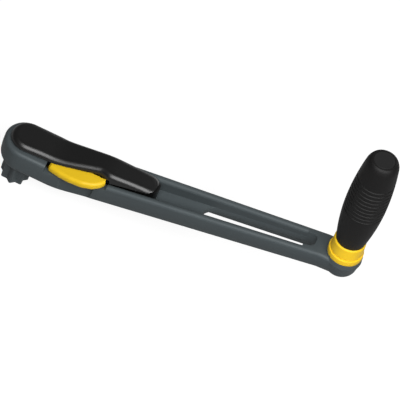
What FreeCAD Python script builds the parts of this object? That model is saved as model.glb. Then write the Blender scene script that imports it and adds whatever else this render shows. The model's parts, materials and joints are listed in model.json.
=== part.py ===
import FreeCAD, Part
import math
import os
import Sketcher

# A lock-in crank handle for a sailing winch. The eight-point star drops into
# the winch, the cranked arm rises from it, and the grip turns on its axle.
# Frame: origin on the star's axis where the star meets the head, +X towards
# the grip, +Z up, and the yellow lever on the -Y side.

SIZES = {
    # whole handle
    "reach": 254.0,             # star axis to grip axis, the nominal 10 inch
    "boss_top": 58.5,           # height of the flat top of the grip's boss
    # head
    "head_half": 18.2,          # half width of the head
    "head_rim": 21.8,           # height of the head's rim
    "nose_shift": 1.0,          # the nose is round about a point this far along
    "head_straight": 22.0,      # the head keeps its full section to here
    "head_lean": 0.2,           # the side wall runs in by this at the bottom
    "head_foot_round": 7.0,
    "wall_crown": 0.15,         # the side walls bow out by this
    "rim_round": 3.0,
    "bend_start": 39.0,         # where the level rim turns into the rising arm
    # arm
    "beam_start": 58.0,
    "beam_half": 16.3,
    "beam_depth": 20.0,
    "beam_end_half": 12.4,
    "beam_end_depth": 16.5,
    "beam_lean": 2.2,
    "beam_foot_round": 1.5,
    "crest_back": 16.0,         # the arm is level again this far before the grip
    "rail_width": 6.0,
    "floor_depth": 12.6,        # channel floor below the rail tops, near the head
    "floor_end_depth": 5.2,
    "web_thick": 5.5,
    "slot_start": 144.0,
    "slot_end_back": 23.2,
    "slot_corner": 4.2,
    # boss under the grip
    "boss_radius": 14.5,
    "boss_depth": 18.2,
    "boss_foot": 5.5,
    "land_radius": 14.2,
    "land_height": 1.0,
    # star drive and lock plate
    "star_tip": 11.45,
    "star_valley": 9.2,
    "star_length": 19.5,        # shoulder to the end of the lock plate
    "plate_thick": 3.0,
    "plate_gap": 0.1,
    "plate_inset": 0.15,
    # lock spindle
    "spindle_radius": 4.0,
    "running_gap": 0.03,
    "bore_gap": 0.06,
    "square_half": 2.5,
    "square_step": 0.9,
    "seal_height": -11.0,
    "seal_section": 0.48,
    "seal_groove": 0.9,
    "bush_wall": 1.5,
    "bay_floor": 8.0,
    "bay_half": 11.4,
    "bay_end": 50.0,
    "crank_thick": 3.0,
    "crank_lift": 0.1,
    "crank_hub": 6.5,
    "crank_tip": 12.8,
    "fork_gap": 0.12,
    "plate_screw_radius": 2.0,
    "plate_screw_head": 4.0,
    # lock lever
    "pivot_x": 27.0,
    "pivot_y": -8.0,
    "pivot_radius": 2.5,
    "hub_radius": 4.4,
    "hub_bay": 6.2,
    "spring_wire": 0.55,        # radius of the spring's wire
    "spring_coil": 5.2,
    "drive_arm_low": 12.6,
    "drive_arm_thick": 4.0,
    "lever_thick": 6.0,
    "lever_top": 23.5,          # height of the lever's top at lever_top_x
    "lever_top_x": 30.0,
    "lever_gap": 0.4,
    "drive_pin_radius": 1.5,
    "notch_start": 21.4,
    "notch_end": 70.3,
    # cover
    "cover_half": 14.4,
    "cover_tail_half": 12.5,
    "cover_tail_x": 97.8,       # the tail is round about a point this far along
    "cover_top": 27.4,
    "cover_high": 36.4,
    "cover_bend_start": 23.0,   # the cover's top starts to climb
    "cover_bend": 10.0,
    "cover_bend_rise": 1.1,
    "cover_peak_start": 60.0,   # the climb eases off again
    "cover_peak": 12.0,
    "cover_peak_rise": 1.3,
    "cover_draft": 11.0,
    "cover_round": 4.2,
    "cover_cutback": 2.6,
    "cover_seam": 1.4,          # shadow gap under the cover's edge
    "post_x": 41.0,
    "post_y": 6.0,
    "post_radius": 3.4,
    "tail_screw_x": 88.0,
    "screw_radius": 1.5,
    "screw_head_radius": 2.9,
    "screw_head_thick": 2.0,
    "screw_length": 10.0,
    # grip
    "grip_height": 111.7,       # boss land to the top of the grip
    "grip_top_radius": 10.1,
    "grip_belly": 16.1,
    "grip_neck": 11.5,
    "neck_height": 16.8,
    "belly_height": 63.0,
    "ring_pitch": 3.85,
    "ring_depth": 0.8,
    "collar_radius": 13.75,
    "collar_flange": 5.2,
    "collar_upper": 13.2,
    "collar_lip": 11.9,
    "cap_room": 13.0,           # from the end of the axle to the grip's top
    "axle_radius": 5.0,
    "axle_head_radius": 8.0,
    "axle_head_thick": 2.5,
    "grip_bush_wall": 2.0,
    "grip_bush_length": 12.0,
    "core_radius": 8.7,
    "washer_thick": 1.0,
    "grip_gap": 0.1,
}

RINGS = 10                      # rings moulded round the grip
STAR_POINTS = 8
LEVER_SWING = 12.0              # degrees the lever swings in
PLATE_TURN = 22.5               # degrees the lock plate turns with it

doc = FreeCAD.newDocument("winch_handle")
sheet = doc.addObject("Spreadsheet::Sheet", "Sizes")
for row, (name, number) in enumerate(SIZES.items(), start=1):
    sheet.set("A%d" % row, name)
    sheet.set("B%d" % row, str(number))
    sheet.setAlias("B%d" % row, name)
doc.recompute()


class Size:
    """A length that carries its number and the sheet formula it comes from."""

    def __init__(self, formula, number):
        self.formula = formula
        self.number = number

    def __add__(self, other):
        other = size(other)
        return Size("(%s + %s)" % (self.formula, other.formula), self.number + other.number)

    def __sub__(self, other):
        other = size(other)
        return Size("(%s - %s)" % (self.formula, other.formula), self.number - other.number)

    def __mul__(self, other):
        other = size(other)
        return Size("(%s * %s)" % (self.formula, other.formula), self.number * other.number)

    def __truediv__(self, other):
        other = size(other)
        return Size("(%s / %s)" % (self.formula, other.formula), self.number / other.number)

    def __neg__(self):
        return Size("(0 - %s)" % self.formula, -self.number)

    def __radd__(self, other):
        return size(other) + self

    def __rsub__(self, other):
        return size(other) - self

    def __rmul__(self, other):
        return size(other) * self


def size(value):
    if isinstance(value, Size):
        return value
    return Size("%.9f" % value, float(value))


def of(name):
    return Size("Sizes." + name, SIZES[name])


def new_body(name):
    body = doc.addObject("PartDesign::Body", name)
    body.Label = name
    return body


def sketch_on(body, name, plane, offset=None, shift=None):
    """A sketch on one of the body's own planes, moved along its normal."""
    sketch = body.newObject("Sketcher::SketchObject", name)
    for feature in body.Origin.OriginFeatures:
        if feature.Role == plane:
            sketch.AttachmentSupport = (feature, [""])
    sketch.MapMode = "FlatFace"
    if offset is not None:
        sketch.setExpression("AttachmentOffset.Base.z", size(offset).formula)
    if shift is not None:
        sketch.setExpression("AttachmentOffset.Base.x", size(shift).formula)
    return sketch


def hold_point(sketch, edge, end, point):
    """Ties one end of an edge to a place worked out from the sheet."""
    for axis, other_axis, value in (("DistanceX", -2, point[0]), ("DistanceY", -1, point[1])):
        value = size(value)
        if abs(value.number) < 1e-9:
            sketch.addConstraint(Sketcher.Constraint("PointOnObject", edge, end, other_axis))
            continue
        number = sketch.addConstraint(Sketcher.Constraint(axis, -1, 1, edge, end, value.number))
        sketch.setExpression("Constraints[%d]" % number, value.formula)


def arc_between(start, stop, radius, left):
    """The short arc from start to stop, with its centre on the left or right."""
    start = FreeCAD.Vector(start[0].number, start[1].number, 0)
    stop = FreeCAD.Vector(stop[0].number, stop[1].number, 0)
    chord = stop - start
    reach = math.sqrt(max(radius ** 2 - (chord.Length / 2) ** 2, 0))
    side = FreeCAD.Vector(-chord.y, chord.x, 0).normalize()
    centre = (start + stop) * 0.5 + side * (reach if left else -reach)
    circle = Part.Circle(centre, FreeCAD.Vector(0, 0, 1), radius)
    first = math.atan2(start.y - centre.y, start.x - centre.x)
    last = math.atan2(stop.y - centre.y, stop.x - centre.x)
    if left:
        return Part.ArcOfCircle(circle, first, last), 1, 2
    return Part.ArcOfCircle(circle, last, first), 2, 1


def draw(sketch, corners):
    """A closed outline. Each corner is (x, y) or (x, y, radius, left): with a
    radius, the edge that leaves the corner is an arc."""
    corners = [(size(c[0]), size(c[1])) + tuple(c[2:]) for c in corners]
    ends = []
    for index, corner in enumerate(corners):
        following = corners[(index + 1) % len(corners)]
        if len(corner) == 2:
            start = FreeCAD.Vector(corner[0].number, corner[1].number, 0)
            stop = FreeCAD.Vector(following[0].number, following[1].number, 0)
            edge = sketch.addGeometry(Part.LineSegment(start, stop), False)
            ends.append((edge, 1, 2))
        else:
            radius = size(corner[2])
            arc, first, last = arc_between(corner, following, radius.number, corner[3])
            edge = sketch.addGeometry(arc, False)
            ends.append((edge, first, last))
    for index, (edge, first, last) in enumerate(ends):
        next_edge, next_first, next_last = ends[(index + 1) % len(ends)]
        sketch.addConstraint(Sketcher.Constraint("Coincident", edge, last, next_edge, next_first))
    for (edge, first, last), corner in zip(ends, corners):
        hold_point(sketch, edge, first, corner)
        if len(corner) == 4:
            radius = size(corner[2])
            number = sketch.addConstraint(Sketcher.Constraint("Radius", edge, radius.number))
            sketch.setExpression("Constraints[%d]" % number, radius.formula)


def draw_circle(sketch, x, y, radius):
    x, y, radius = size(x), size(y), size(radius)
    circle = Part.Circle(FreeCAD.Vector(x.number, y.number, 0), FreeCAD.Vector(0, 0, 1), radius.number)
    edge = sketch.addGeometry(circle, False)
    hold_point(sketch, edge, 3, (x, y))
    number = sketch.addConstraint(Sketcher.Constraint("Radius", edge, radius.number))
    sketch.setExpression("Constraints[%d]" % number, radius.formula)


def pad(body, sketch, length, name, back=False):
    feature = body.newObject("PartDesign::Pad", name)
    feature.Profile = sketch
    feature.Reversed = back
    feature.setExpression("Length", size(length).formula)
    sketch.Visibility = False
    return feature


def pad_both_ways(body, sketch, length, name):
    feature = pad(body, sketch, length, name)
    feature.Midplane = True
    return feature


def pocket(body, sketch, length, name, back=False):
    feature = body.newObject("PartDesign::Pocket", name)
    feature.Profile = sketch
    feature.Reversed = back
    feature.setExpression("Length", size(length).formula)
    return feature


def pocket_both_ways(body, sketch, length, name):
    feature = pocket(body, sketch, length, name)
    feature.Midplane = True
    return feature


def turn(body, sketch, name, cut=False):
    """A full turn of the sketch about its own upright axis."""
    kind = "PartDesign::Groove" if cut else "PartDesign::Revolution"
    feature = body.newObject(kind, name)
    feature.Profile = sketch
    feature.ReferenceAxis = (sketch, ["V_Axis"])
    feature.Angle = 360.0
    return feature


def loft(body, sketches, name, ruled):
    feature = body.newObject("PartDesign::AdditiveLoft", name)
    feature.Profile = sketches[0]
    feature.Sections = sketches[1:]
    feature.Ruled = ruled
    return feature


def turned_piece(name, profile, x=None):
    """A round piece: its half profile turned about an upright axis at x."""
    body = new_body(name)
    sketch = sketch_on(body, name + "_profile", "XZ_Plane", shift=x)
    draw(sketch, profile)
    turn(body, sketch, name + "_turned")
    return body


reach = of("reach")
slope = (of("boss_top") - of("head_rim")) / (reach - of("crest_back") - of("bend_start"))
crest = reach - of("crest_back")
collar_base = of("boss_top") + of("land_height")
axle_top = of("grip_height") - of("cap_room")
far = reach * 0.6               # cuts that clear the whole width run this far


def rail_top(x):
    return of("head_rim") + slope * (size(x) - of("bend_start"))


def along(x, first, last):
    """A size that changes evenly from the beam's start to the crest."""
    share = (size(x) - of("beam_start")) / (crest - of("beam_start"))
    return first + (last - first) * share


def beam_half(x):
    return along(x, of("beam_half"), of("beam_end_half"))


def beam_depth(x):
    return along(x, of("beam_depth"), of("beam_end_depth"))


def floor_depth(x):
    return along(x, of("floor_depth"), of("floor_end_depth"))


def lever_top(x):
    return of("lever_top") + slope * (size(x) - of("lever_top_x"))


def side_arc(height, lean):
    """Radius of a crowned wall that runs in by lean over its height."""
    return (height * height + lean * lean) / (8 * (lean / 4 + of("wall_crown")))


def easing(run, rise):
    """Radius of an arc that starts level and gains rise over a run."""
    return (run * run + rise * rise) / (2 * rise)


def solid_section(half, top, depth, lean, foot_round):
    """Cross-section of the arm where it is solid, with crowned side walls."""
    rim = of("rim_round")
    bottom = top - depth
    wall = side_arc(depth - rim - foot_round, lean)
    return [
        (-(half - rim), top),
        (half - rim, top, rim, False),
        (half, top - rim, wall, False),
        (half - lean, bottom + foot_round, foot_round, False),
        (half - lean - foot_round, bottom),
        (-(half - lean - foot_round), bottom, foot_round, False),
        (-(half - lean), bottom + foot_round, wall, False),
        (-half, top - rim, rim, False),
    ]


def beam_section(x):
    """Cross-section of the open arm: two round-topped rails and a web."""
    half = beam_half(x)
    top = rail_top(x)
    depth = beam_depth(x)
    rim = of("rim_round")
    lean = of("beam_lean")
    foot = of("beam_foot_round")
    wall = side_arc(depth - rim - foot, lean)
    inner = half - of("rail_width")
    crown = half - rim
    floor = top - floor_depth(x)
    under = floor - of("web_thick")
    inner_foot = half - lean - 2 * foot
    return [
        (-inner, floor),
        (inner, floor),
        (inner, top - rim, rim, False),
        (crown, top, rim, False),
        (half, top - rim, wall, False),
        (half - lean, top - depth + foot, foot, False),
        (half - lean - foot, top - depth, foot, False),
        (inner_foot, top - depth + foot),
        (inner, under),
        (-inner, under),
        (-inner_foot, top - depth + foot, foot, False),
        (-(half - lean - foot), top - depth, foot, False),
        (-(half - lean), top - depth + foot, wall, False),
        (-half, top - rim, rim, False),
        (-crown, top, rim, False),
        (-inner, top - rim),
    ]


def star_outline(inset):
    """The eight blunt points of the drive, as a closed run of corners."""
    corners = []
    tip = of("star_tip") - inset
    valley = of("star_valley") - inset
    for point in range(STAR_POINTS):
        middle = 360.0 * point / STAR_POINTS
        for radius, angle in ((tip, middle - 3), (tip, middle + 3), (valley, middle + 180.0 / STAR_POINTS)):
            x = math.cos(math.radians(angle))
            y = math.sin(math.radians(angle))
            corners.append((radius * round(x, 9), radius * round(y, 9)))
    return corners


def make_casting():
    body = new_body("arm_casting")
    half = of("head_half")
    rim = of("rim_round")
    foot = of("head_foot_round")
    lean = of("head_lean")
    top = of("head_rim")
    wall = side_arc(top - rim - foot, lean)

    nose = sketch_on(body, "nose_profile", "XZ_Plane", shift=of("nose_shift"))
    draw(nose, [
        (0, 0),
        (half - lean - foot, 0, foot, True),
        (half - lean, foot, wall, True),
        (half, top - rim, rim, True),
        (half - rim, top),
        (0, top),
    ])
    turn(body, nose, "nose")

    sections = []
    places = (
        (of("nose_shift"), half, top, top, lean, foot),
        (of("head_straight"), half, top, top, lean, foot),
    )
    for number, (x, width, height, depth, run_in, round_foot) in enumerate(places):
        sketch = sketch_on(body, "head_section_%d" % number, "YZ_Plane", offset=x)
        draw(sketch, solid_section(width, height, depth, run_in, round_foot))
        sections.append(sketch)
    loft(body, sections, "head", True)

    start = of("beam_start")
    span = start - of("head_straight")
    drop = half - of("beam_half")
    rise = rail_top(start) - top
    bottom_rise = rail_top(start) - of("beam_depth")
    sections = []
    for number, (share, narrow, climb, lift, thin) in enumerate((
        (0.0, 0.0, 0.0, 0.0, 0.0),
        (0.33, 0.22, 0.0, 0.07, 0.25),
        (0.67, 0.68, 0.29, 0.45, 0.65),
        (1.0, 1.0, 1.0, 1.0, 1.0),
    )):
        sketch = sketch_on(body, "neck_section_%d" % number, "YZ_Plane",
                           offset=of("head_straight") + span * share)
        height = top + rise * climb
        draw(sketch, solid_section(
            half - drop * narrow, height, height - bottom_rise * lift,
            lean - (lean - of("beam_lean")) * thin,
            foot - (foot - of("beam_foot_round")) * thin))
        sections.append(sketch)
    loft(body, sections, "neck", False)

    sections = []
    for number, x in enumerate((start, crest)):
        sketch = sketch_on(body, "beam_section_%d" % number, "YZ_Plane", offset=x)
        draw(sketch, beam_section(x))
        sections.append(sketch)
    loft(body, sections, "beam", True)

    # solid end of the arm, and the flat that closes the channel before it
    sections = []
    for number, x in enumerate((crest - 5, crest)):
        sketch = sketch_on(body, "block_section_%d" % number, "YZ_Plane", offset=x)
        draw(sketch, solid_section(beam_half(x), rail_top(x), beam_depth(x),
                                   of("beam_lean"), of("beam_foot_round")))
        sections.append(sketch)
    loft(body, sections, "end_block", True)
    sections = []
    for number, x in enumerate((reach - of("slot_end_back") - 8, crest)):
        sketch = sketch_on(body, "flat_section_%d" % number, "YZ_Plane", offset=x)
        side = beam_half(x) - of("rim_round")
        low = rail_top(x) - floor_depth(x) - of("web_thick")
        draw(sketch, [(-side, low), (side, low), (side, rail_top(x)), (-side, rail_top(x))])
        sections.append(sketch)
    loft(body, sections, "end_flat", True)
    sections = []
    for number, (x, width, depth, run_in) in enumerate((
        (crest, of("beam_end_half"), of("beam_end_depth"), of("beam_lean")),
        (reach, of("beam_end_half") + 0.3, of("boss_depth") - 1.0, of("beam_lean") + 2.0),
    )):
        sketch = sketch_on(body, "boss_neck_%d" % number, "YZ_Plane", offset=x)
        draw(sketch, solid_section(width, of("boss_top"), depth, run_in, of("beam_foot_round")))
        sections.append(sketch)
    loft(body, sections, "boss_neck", True)

    radius = of("boss_radius")
    boss_top = of("boss_top")
    depth = of("boss_depth")
    bowl = radius - 1.6
    boss = sketch_on(body, "boss_profile", "XZ_Plane", shift=reach)
    draw(boss, [
        (0, boss_top - depth),
        (of("boss_foot"), boss_top - depth, (bowl - of("boss_foot")) * 1.15, True),
        (bowl, boss_top - depth + 8.5),
        (radius, boss_top - rim, rim, True),
        (radius - rim, boss_top),
        (radius - rim, boss_top + of("land_height")),
        (0, boss_top + of("land_height")),
    ])
    turn(body, boss, "boss")
    land = sketch_on(body, "land_circle", "XY_Plane", offset=boss_top - 2)
    draw_circle(land, reach, 0, of("land_radius"))
    pad(body, land, of("land_height") + 2, "land")

    root = of("bay_floor") / 2
    star = sketch_on(body, "star_outline", "XY_Plane", offset=root)
    draw(star, star_outline(0))
    pad(body, star, root + of("star_length") - of("plate_thick") - of("plate_gap"), "star", back=True)

    cut_casting(body)
    return body


def cut_casting(body):
    top = of("head_rim")
    bay = sketch_on(body, "bay_outline", "XY_Plane", offset=top + 10)
    bay_half = of("bay_half")
    neck_half = beam_half(of("beam_start")) - of("rail_width")
    shift = of("nose_shift")
    draw(bay, [
        (shift, -bay_half),
        (of("pivot_x") + 7, -bay_half),
        (of("bay_end"), -neck_half),
        (of("bay_end"), neck_half),
        (of("pivot_x") + 7, bay_half),
        (shift, bay_half, bay_half, True),
        (shift - bay_half, 0, bay_half, True),
    ])
    pocket(body, bay, top + 10 - of("bay_floor"), "bay")

    step_floor = rail_top(of("beam_start")) - of("floor_depth")
    step = sketch_on(body, "step_outline", "XY_Plane", offset=top + 10)
    draw(step, [
        (of("bay_end") - 5, -neck_half),
        (of("beam_start") + 1, -neck_half),
        (of("beam_start") + 1, neck_half),
        (of("bay_end") - 5, neck_half),
    ])
    pocket(body, step, top + 10 - step_floor, "bay_step")

    notch_floor_start = lever_top(of("notch_start")) - of("lever_thick") - of("lever_gap")
    notch_floor_end = lever_top(of("notch_end")) - of("lever_thick") - of("lever_gap")
    notch = sketch_on(body, "notch_outline", "XZ_Plane", offset=of("head_half") + 2)
    draw(notch, [
        (of("notch_start"), notch_floor_start),
        (of("notch_end"), notch_floor_end),
        (of("notch_end"), top + 20),
        (of("notch_start"), top + 20),
    ])
    pocket(body, notch, of("head_half") - 4, "lever_notch")

    finger = sketch_on(body, "finger_outline", "XY_Plane", offset=top + 10)
    draw(finger, [
        (of("pivot_x") + 6.5, -(of("head_half") + 2)),
        (of("pivot_x") + 9.5, -(of("head_half") - 3.1), 100, False),
        (of("pivot_x") + 33, -(of("head_half") - 5.0)),
        (of("pivot_x") + 37, -(of("head_half") + 2)),
    ])
    pocket(body, finger, top + 20, "finger_pocket")

    slot_end = reach - of("slot_end_back")
    start_half = beam_half(of("slot_start")) - of("rail_width") - 0.4
    end_half = beam_half(slot_end) - of("rail_width") - 0.2
    corner = of("slot_corner")
    slot = sketch_on(body, "slot_outline", "XY_Plane", offset=of("boss_top") + 20)
    draw(slot, [
        (of("slot_start") + start_half, -start_half),
        (slot_end - corner, -end_half, corner, True),
        (slot_end, corner - end_half),
        (slot_end, end_half - corner, corner, True),
        (slot_end - corner, end_half),
        (of("slot_start") + start_half, start_half, start_half, True),
        (of("slot_start"), 0, start_half, True),
    ])
    pocket(body, slot, of("boss_top") + 40, "slot")
    bore = sketch_on(body, "spindle_bore_circle", "XY_Plane", offset=top)
    draw_circle(bore, 0, 0, of("spindle_radius") + of("bore_gap"))
    pocket(body, bore, top + of("star_length") + 2, "spindle_bore")
    seat = sketch_on(body, "bush_seat_circle", "XY_Plane", offset=top)
    draw_circle(seat, 0, 0, of("spindle_radius") + of("bush_wall"))
    pocket(body, seat, top + 4, "bush_seat")
    hub_bay = sketch_on(body, "hub_bay_circle", "XY_Plane", offset=top + 1)
    draw_circle(hub_bay, of("pivot_x"), of("pivot_y"), of("hub_bay"))
    pocket(body, hub_bay, top + 1 - of("bay_floor"), "hub_bay")
    pivot = sketch_on(body, "pivot_hole_circle", "XY_Plane", offset=top)
    draw_circle(pivot, of("pivot_x"), of("pivot_y"), of("pivot_radius"))
    pocket(body, pivot, top - 3, "pivot_hole")

    axle = sketch_on(body, "axle_hole_circle", "XY_Plane", offset=of("boss_top") + 5)
    draw_circle(axle, reach, 0, of("axle_radius"))
    pocket(body, axle, of("boss_depth") + 10, "axle_hole")
    recess = sketch_on(body, "axle_recess_circle", "XY_Plane", offset=of("boss_top") - of("boss_depth") - 5)
    draw_circle(recess, reach, 0, of("axle_head_radius"))
    pocket(body, recess, of("axle_head_thick") + 6, "axle_recess", back=True)

    for name, x, y, seat in (("front_screw", of("post_x"), of("post_y"), front_screw_seat),
                             ("tail_screw", of("tail_screw_x"), 0, tail_screw_seat)):
        spot = sketch_on(body, name + "_spot_circle", "XY_Plane", offset=seat)
        draw_circle(spot, x, y, of("screw_head_radius") + 0.3)
        pocket(body, spot, 12, name + "_spot", back=False)
        hole = sketch_on(body, name + "_hole_circle", "XY_Plane", offset=seat + 10)
        draw_circle(hole, x, y, of("screw_radius") + 0.1)
        pocket(body, hole, 12, name + "_hole")


front_screw_seat = of("bay_floor") - 3.5
tail_screw_seat = rail_top(of("tail_screw_x")) - floor_depth(of("tail_screw_x")) - 3.5
crank_base = of("bay_floor") + of("crank_lift")
crank_top = crank_base + of("crank_thick")
plate_top = -(of("star_length") - of("plate_thick"))

# The lever's drive pin crosses the line of centres halfway through the swing.
half_swing = math.radians(LEVER_SWING / 2)
half_turn = math.radians(PLATE_TURN / 2)
centre_distance = math.hypot(SIZES["pivot_x"], SIZES["pivot_y"])
line_angle = math.atan2(-SIZES["pivot_y"], -SIZES["pivot_x"])
pin_share = math.tan(half_turn) / (math.sin(half_swing) + math.tan(half_turn) * math.cos(half_swing))


def from_pivot(distance, aside):
    """A place on the lever's drive arm at rest, measured from the pivot."""
    angle = line_angle - half_swing
    along_x = math.cos(angle)
    along_y = math.sin(angle)
    return (of("pivot_x") + distance * along_x - aside * along_y,
            of("pivot_y") + distance * along_y + aside * along_x)


def from_star(distance, aside):
    """A place on the spindle's crank at rest, measured from the star's axis."""
    angle = line_angle + math.pi + half_turn
    along_x = math.cos(angle)
    along_y = math.sin(angle)
    return (size(distance) * along_x - size(aside) * along_y,
            size(distance) * along_y + size(aside) * along_x)


def pin_place():
    return from_pivot(size(centre_distance * pin_share), size(0))


def square(sketch, half):
    corners = [from_star(half, half), from_star(-half, half), from_star(-half, -half), from_star(half, -half)]
    draw(sketch, corners)


def make_seam_ring():
    """What is cut away under the cover's edge, as a plate with a hole in it."""
    rim = of("head_rim")
    ring = new_body("seam_ring")
    side = sketch_on(ring, "ring_side", "XZ_Plane")
    draw(side, [
        (-far, rim - 1),
        (of("bend_start"), rim - 1),
        (far, rail_top(far) - 1),
        (far, rail_top(far) + of("cover_seam")),
        (of("bend_start"), rim + of("cover_seam")),
        (-far, rim + of("cover_seam")),
    ])
    pad_both_ways(ring, side, far, "ring_plate")
    hole = sketch_on(ring, "ring_hole_outline", "XY_Plane", offset=rim)
    draw(hole, cover_outline(of("cover_seam")))
    inside = pocket(ring, hole, 60, "ring_hole", back=True)
    inside.setExpression("TaperAngle", "0 - Sizes.cover_draft")
    below = sketch_on(ring, "ring_below_outline", "XY_Plane", offset=rim)
    draw(below, cover_outline(of("cover_seam")))
    pocket(ring, below, 20, "ring_below")
    return ring


def cover_outline(inset):
    half = of("cover_half") - inset
    tail = of("cover_tail_half") - inset
    shift = of("nose_shift")
    tail_x = of("cover_tail_x")
    return [
        (shift, -half),
        (tail_x, -tail, tail, True),
        (tail_x + tail, 0, tail, True),
        (tail_x, tail),
        (shift, half, half, True),
        (shift - half, 0, half, True),
    ]


def make_cover():
    body = new_body("top_cover")
    rim = of("head_rim")
    outline = sketch_on(body, "cover_outline", "XY_Plane", offset=rim)
    draw(outline, cover_outline(0))
    block = pad(body, outline, 20, "cover_block")
    block.setExpression("TaperAngle", "0 - Sizes.cover_draft")

    high = sketch_on(body, "cover_top_line", "XZ_Plane")
    bend = of("cover_bend_start")
    peak = of("cover_peak_start")
    draw(high, [
        (-far, of("cover_top")),
        (bend, of("cover_top"), easing(of("cover_bend"), of("cover_bend_rise")), True),
        (bend + of("cover_bend"), of("cover_top") + of("cover_bend_rise")),
        (peak, of("cover_high") - of("cover_peak_rise"),
         easing(of("cover_peak"), of("cover_peak_rise")), False),
        (peak + of("cover_peak"), of("cover_high")),
        (far, of("cover_high")),
        (far, of("cover_high") + 30),
        (-far, of("cover_high") + 30),
    ])
    pocket_both_ways(body, high, far, "cover_top_cut")
    round_edges(body, "cover_rounds", of("cover_round"), cover_top_edge)

    low = sketch_on(body, "cover_base_line", "XZ_Plane")
    draw(low, [
        (-far, -far),
        (far, -far),
        (far, rail_top(far)),
        (of("bend_start"), rim),
        (-far, rim),
    ])
    pocket_both_ways(body, low, far, "cover_base")
    seam = body.newObject("PartDesign::Boolean", "cover_seam")
    seam.Group = [make_seam_ring()]
    seam.Type = "Cut"

    # the plug drops between the rails and closes the channel behind the cover
    plug_half = of("beam_half") - of("rail_width") - 1.2
    plug_start = of("notch_end") + 2
    plug_end = of("cover_tail_x") + plug_half
    plug = sketch_on(body, "plug_profile", "XZ_Plane")
    draw(plug, [
        (plug_start, rail_top(plug_start) - floor_depth(plug_start)),
        (plug_end, rail_top(plug_end) - floor_depth(plug_end)),
        (plug_end, rail_top(plug_end) + 0.5),
        (plug_start, rail_top(plug_start) + 0.5),
    ])
    pad_both_ways(body, plug, plug_half * 2, "cover_plug")
    tail = sketch_on(body, "tail_trim_outline", "XY_Plane", offset=rim + 30)
    tail_x = of("cover_tail_x")
    draw(tail, [
        (tail_x, -plug_half, plug_half, True),
        (plug_end, 0, plug_half, True),
        (tail_x, plug_half),
        (tail_x, 30),
        (tail_x + 30, 30),
        (tail_x + 30, -30),
        (tail_x, -30),
    ])
    pocket(body, tail, 60, "tail_trim")

    back = sketch_on(body, "cutback_outline", "XY_Plane", offset=rim + 30)
    edge = of("cover_half") - of("cover_cutback")
    draw(back, [
        (of("notch_start") + 0.5, -30),
        (of("notch_end") - 2.2, -30),
        (of("notch_end") - 2.2, -(edge - 1.2)),
        (of("notch_start") + 2.5, -edge),
    ])
    pocket(body, back, 60, "cover_cutback")

    hollow = sketch_on(body, "hollow_line", "XZ_Plane")
    draw(hollow, [
        (of("nose_shift"), 0),
        (of("notch_end") - 0.6, 0),
        (of("notch_end") - 0.6, lever_top(of("notch_end") - 0.6) + of("lever_gap")),
        (of("notch_start") - 0.6, lever_top(of("notch_start") - 0.6) + of("lever_gap")),
        (of("nose_shift"), lever_top(of("notch_start") - 0.6) + of("lever_gap")),
    ])
    pocket_both_ways(body, hollow, (of("bay_half") - of("cover_seam")) * 2, "cover_hollow")
    round_hollow = sketch_on(body, "round_hollow_circle", "XY_Plane", offset=rim - 5)
    draw_circle(round_hollow, of("nose_shift"), 0, of("bay_half"))
    pocket(body, round_hollow, lever_top(of("notch_start")) + of("lever_gap") - rim + 5, "round_hollow", back=True)
    mouth = sketch_on(body, "lever_mouth_line", "XZ_Plane", offset=of("head_half"))
    draw(mouth, [
        (of("notch_start") - 0.4, rim - 10),
        (of("notch_end") - 0.6, rim - 10),
        (of("notch_end") - 0.6, lever_top(of("notch_end") - 0.6) + of("lever_gap")),
        (of("notch_start") - 0.4, lever_top(of("notch_start") - 0.4) + of("lever_gap")),
    ])
    pocket(body, mouth, of("head_half"), "lever_mouth")

    post = sketch_on(body, "post_circle", "XY_Plane", offset=of("bay_floor"))
    draw_circle(post, of("post_x"), of("post_y"), of("post_radius"))
    pad(body, post, of("cover_top") - of("bay_floor"), "cover_post")
    for name, x, y, seat in (("front", of("post_x"), of("post_y"), front_screw_seat),
                             ("tail", of("tail_screw_x"), 0, tail_screw_seat)):
        hole = sketch_on(body, name + "_thread_circle", "XY_Plane", offset=seat)
        draw_circle(hole, x, y, of("screw_radius"))
        pocket(body, hole, of("screw_length") + 0.5, name + "_thread", back=True)


def cover_top_edge(edge):
    """Picks the edges where the cover's top meets its sides."""
    box = edge.BoundBox
    return box.ZMin > SIZES["cover_top"] - 0.2 and box.XMax - box.XMin > 0.1


def round_edges(body, name, radius, wanted):
    doc.recompute()
    before = body.Tip
    picked = ["Edge%d" % (i + 1) for i, edge in enumerate(before.Shape.Edges) if wanted(edge)]
    if not picked:
        raise RuntimeError("no edges for " + name)
    feature = body.newObject("PartDesign::Fillet", name)
    feature.Base = (before, picked)
    feature.setExpression("Radius", size(radius).formula)
    return feature


def make_screw(name, x, y, seat, length):
    """A pan-head screw driven from below, with its head under the seat."""
    body = new_body(name)
    head_low = seat - of("screw_head_thick")
    head = sketch_on(body, name + "_head_circle", "XY_Plane", offset=head_low)
    draw_circle(head, x, y, of("screw_head_radius"))
    pad(body, head, of("screw_head_thick"), name + "_head")
    shank = sketch_on(body, name + "_shank_circle", "XY_Plane", offset=seat)
    draw_circle(shank, x, y, of("screw_radius"))
    pad(body, shank, length, name + "_shank")
    socket = sketch_on(body, name + "_socket_outline", "XY_Plane", offset=head_low)
    draw(socket, hexagon(x, y, 1.15))
    pocket(body, socket, 1.2, name + "_socket", back=True)


def hexagon(x, y, radius):
    corners = []
    for side in range(6):
        angle = math.radians(60 * side)
        corners.append((size(x) + radius * math.cos(angle), size(y) + radius * math.sin(angle)))
    return corners


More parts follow.
